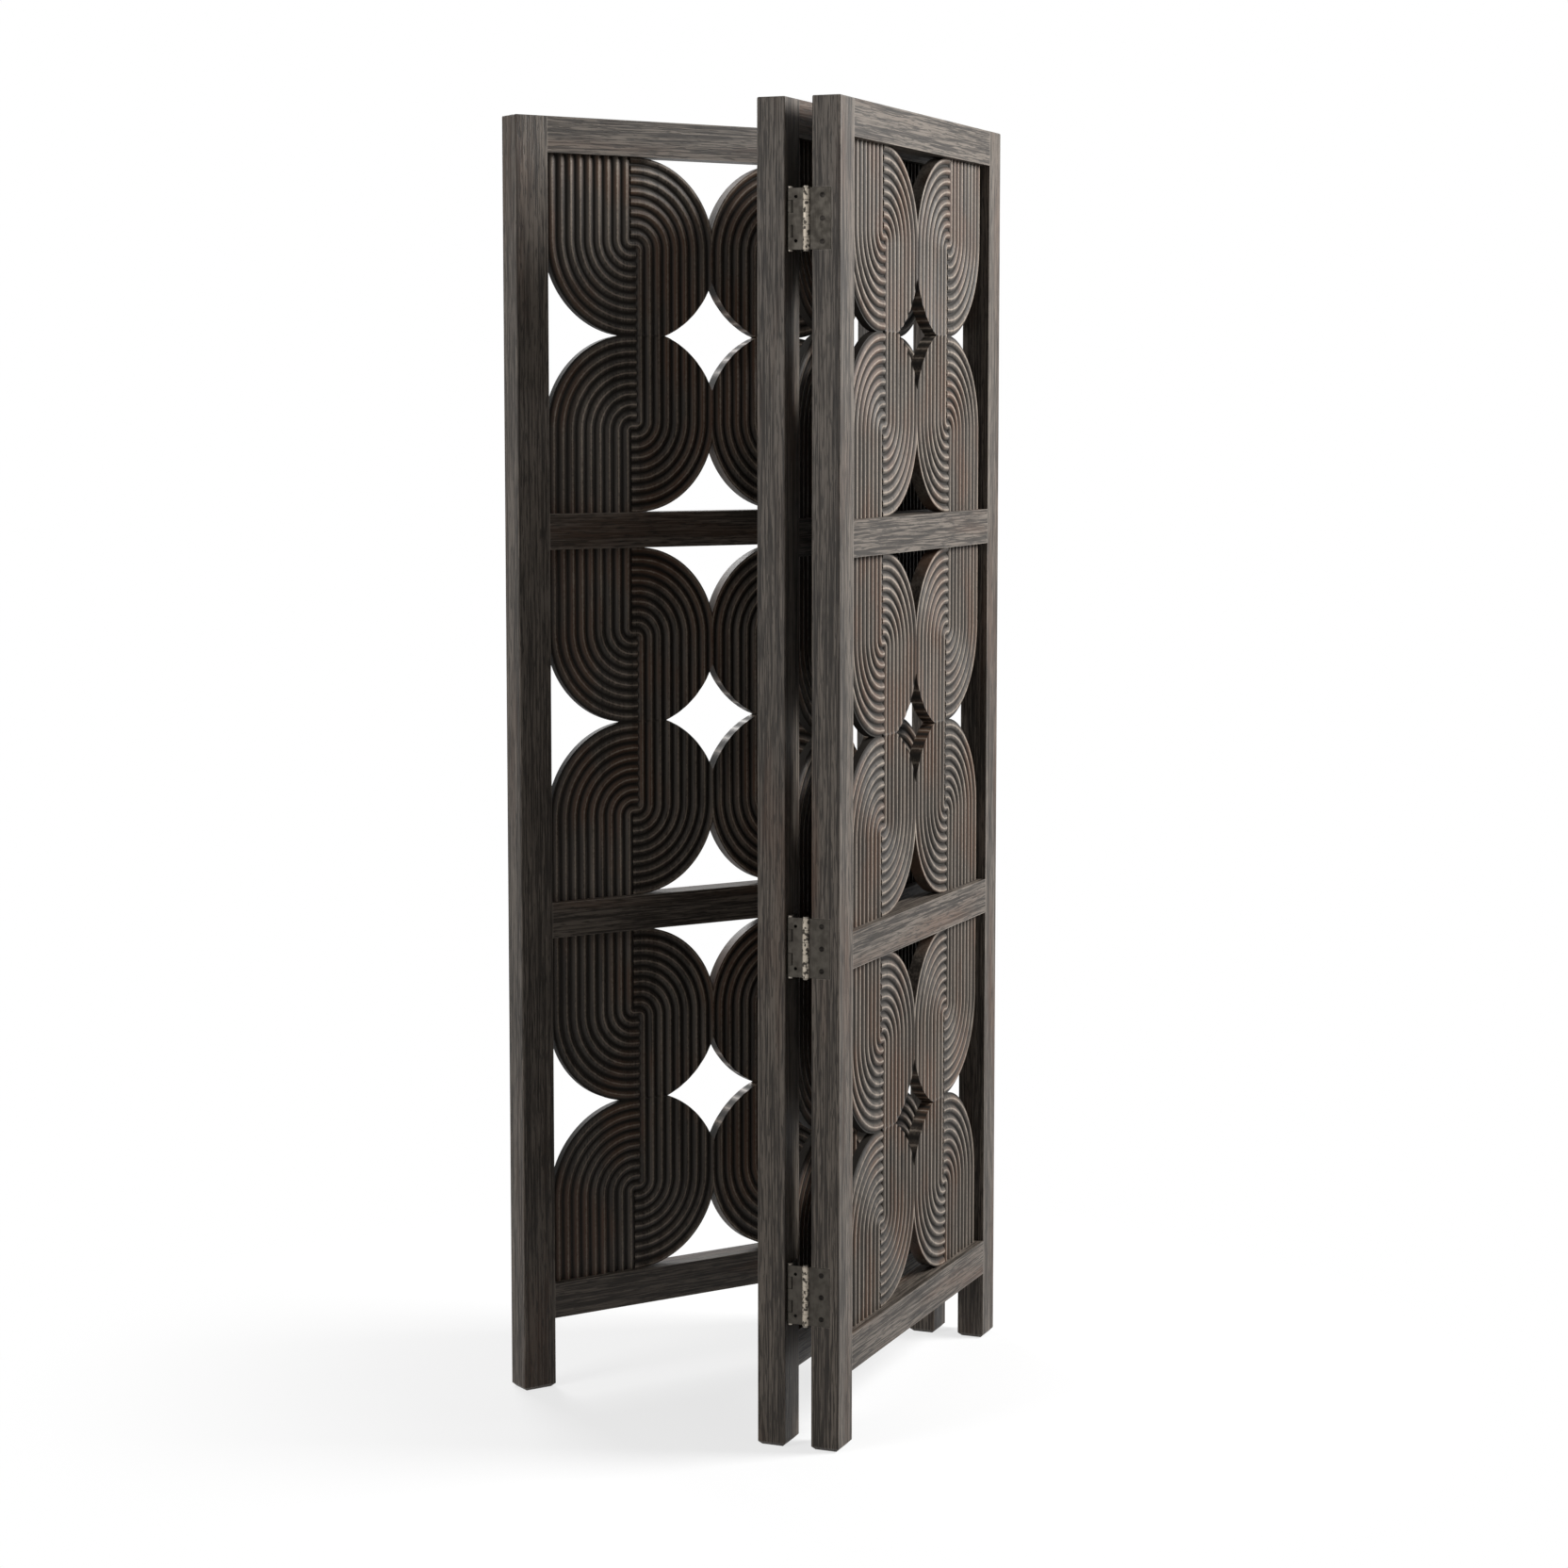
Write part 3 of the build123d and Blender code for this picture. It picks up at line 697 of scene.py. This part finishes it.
def studio_floor():
    """A white floor whose far part shows as plain white to the camera."""
    material = bpy.data.materials.new("studio_floor")
    material.use_nodes = True
    tree = material.node_tree
    tree.nodes.clear()
    output = tree.nodes.new("ShaderNodeOutputMaterial")
    matt = tree.nodes.new("ShaderNodeBsdfDiffuse")
    plain = tree.nodes.new("ShaderNodeEmission")
    plain.inputs["Color"].default_value = (1, 1, 1, 1)
    seen = seen_directly(tree)
    tree.links.new(blend_colour(tree, seen, FLOOR_BOUNCE, FLOOR_WHITE), matt.inputs["Color"])
    mix = tree.nodes.new("ShaderNodeMixShader")
    away = plan_distance(tree, screen_middle)
    far = spread(tree, away, *SHADOW_REACH, SHADOW_SOFTENING, 1.0)
    tree.links.new(combine(tree, "MULTIPLY", far, seen), mix.inputs["Fac"])
    tree.links.new(matt.outputs["BSDF"], mix.inputs[1])
    tree.links.new(plain.outputs["Emission"], mix.inputs[2])
    tree.links.new(mix.outputs["Shader"], output.inputs["Surface"])
    return material


half = FLOOR_SIZE / 2
floor_mesh = bpy.data.meshes.new("floor")
floor_mesh.from_pydata([(-half, -half, 0), (half, -half, 0), (half, half, 0), (-half, half, 0)],
                       [], [(0, 1, 2, 3)])
floor = bpy.data.objects.new("floor", floor_mesh)
floor.data.materials.append(studio_floor())
bpy.context.scene.collection.objects.link(floor)

# %% The light all round
WORLD_STRENGTH = 0.13    # on the screen; seen directly it is plain white
world = bpy.data.worlds.new("white_studio")
bpy.context.scene.world = world
world.use_nodes = True
sky = world.node_tree
sky.nodes.clear()
background = sky.nodes.new("ShaderNodeBackground")
background.inputs["Color"].default_value = (1, 1, 1, 1)
strength = spread(sky, seen_directly(sky), 0, 1, WORLD_STRENGTH, 1.0)
sky.links.new(strength, background.inputs["Strength"])
world_output = sky.nodes.new("ShaderNodeOutputWorld")
sky.links.new(background.outputs["Background"], world_output.inputs["Surface"])

# %% [markdown]
# The key lamp stands to the right and lights the fronts of the panels across
# their ribs, which models the carving. Two weaker ones fill the shaded edges and
# the back.

# %% The lamps
def soft_lamp(name, place, target, size, power):
    """A square area lamp at a place, turned to a target."""
    lamp = bpy.data.lights.new(name, "AREA")
    lamp.size = size
    lamp.energy = power
    holder = bpy.data.objects.new(name, lamp)
    holder.location = place
    aim = Vector(target) - Vector(place)
    holder.rotation_euler = aim.to_track_quat("-Z", "Y").to_euler()
    bpy.context.scene.collection.objects.link(holder)


SCREEN_HEART = (0.3, 0.0, 1.0)   # where the lamps point
soft_lamp("key_lamp", (1.6, -2.8, 2.8), SCREEN_HEART, 1.4, 222)
soft_lamp("front_lamp", (-2.9, 2.0, 1.9), SCREEN_HEART, 1.4, 60)
soft_lamp("back_lamp", (2.6, 2.8, 2.6), SCREEN_HEART, 1.6, 100)

# %% [markdown]
# The camera looks along the folded panels from a little above their middle,
# with a long lens that keeps the verticals nearly straight.

# %% The camera
EYE = Vector((-4.0427, -1.6603, 1.3855))
EYE_HEADING = 0.3879      # radians from +X, anticlockwise from above
EYE_DROP = 0.0968         # radians below level
FOCAL_RATIO = 3500 / 1664  # focal length over the picture's width
SENSOR_WIDTH = 36.0       # millimetres
PICTURE_SHIFT = -0.03     # share of the picture's width
camera_data = bpy.data.cameras.new("camera")
camera_data.sensor_width = SENSOR_WIDTH
camera_data.lens = FOCAL_RATIO * SENSOR_WIDTH
camera_data.shift_y = PICTURE_SHIFT
camera = bpy.data.objects.new("camera", camera_data)
level_part = math.cos(EYE_DROP)
gaze = Vector((level_part * math.cos(EYE_HEADING), level_part * math.sin(EYE_HEADING),
               -math.sin(EYE_DROP)))
camera.location = EYE
camera.rotation_euler = gaze.to_track_quat("-Z", "Y").to_euler()
bpy.context.scene.collection.objects.link(camera)
bpy.context.scene.camera = camera
bpy.context.scene.view_settings.view_transform = "Standard"
print("lens", round(camera_data.lens, 2), "mm")
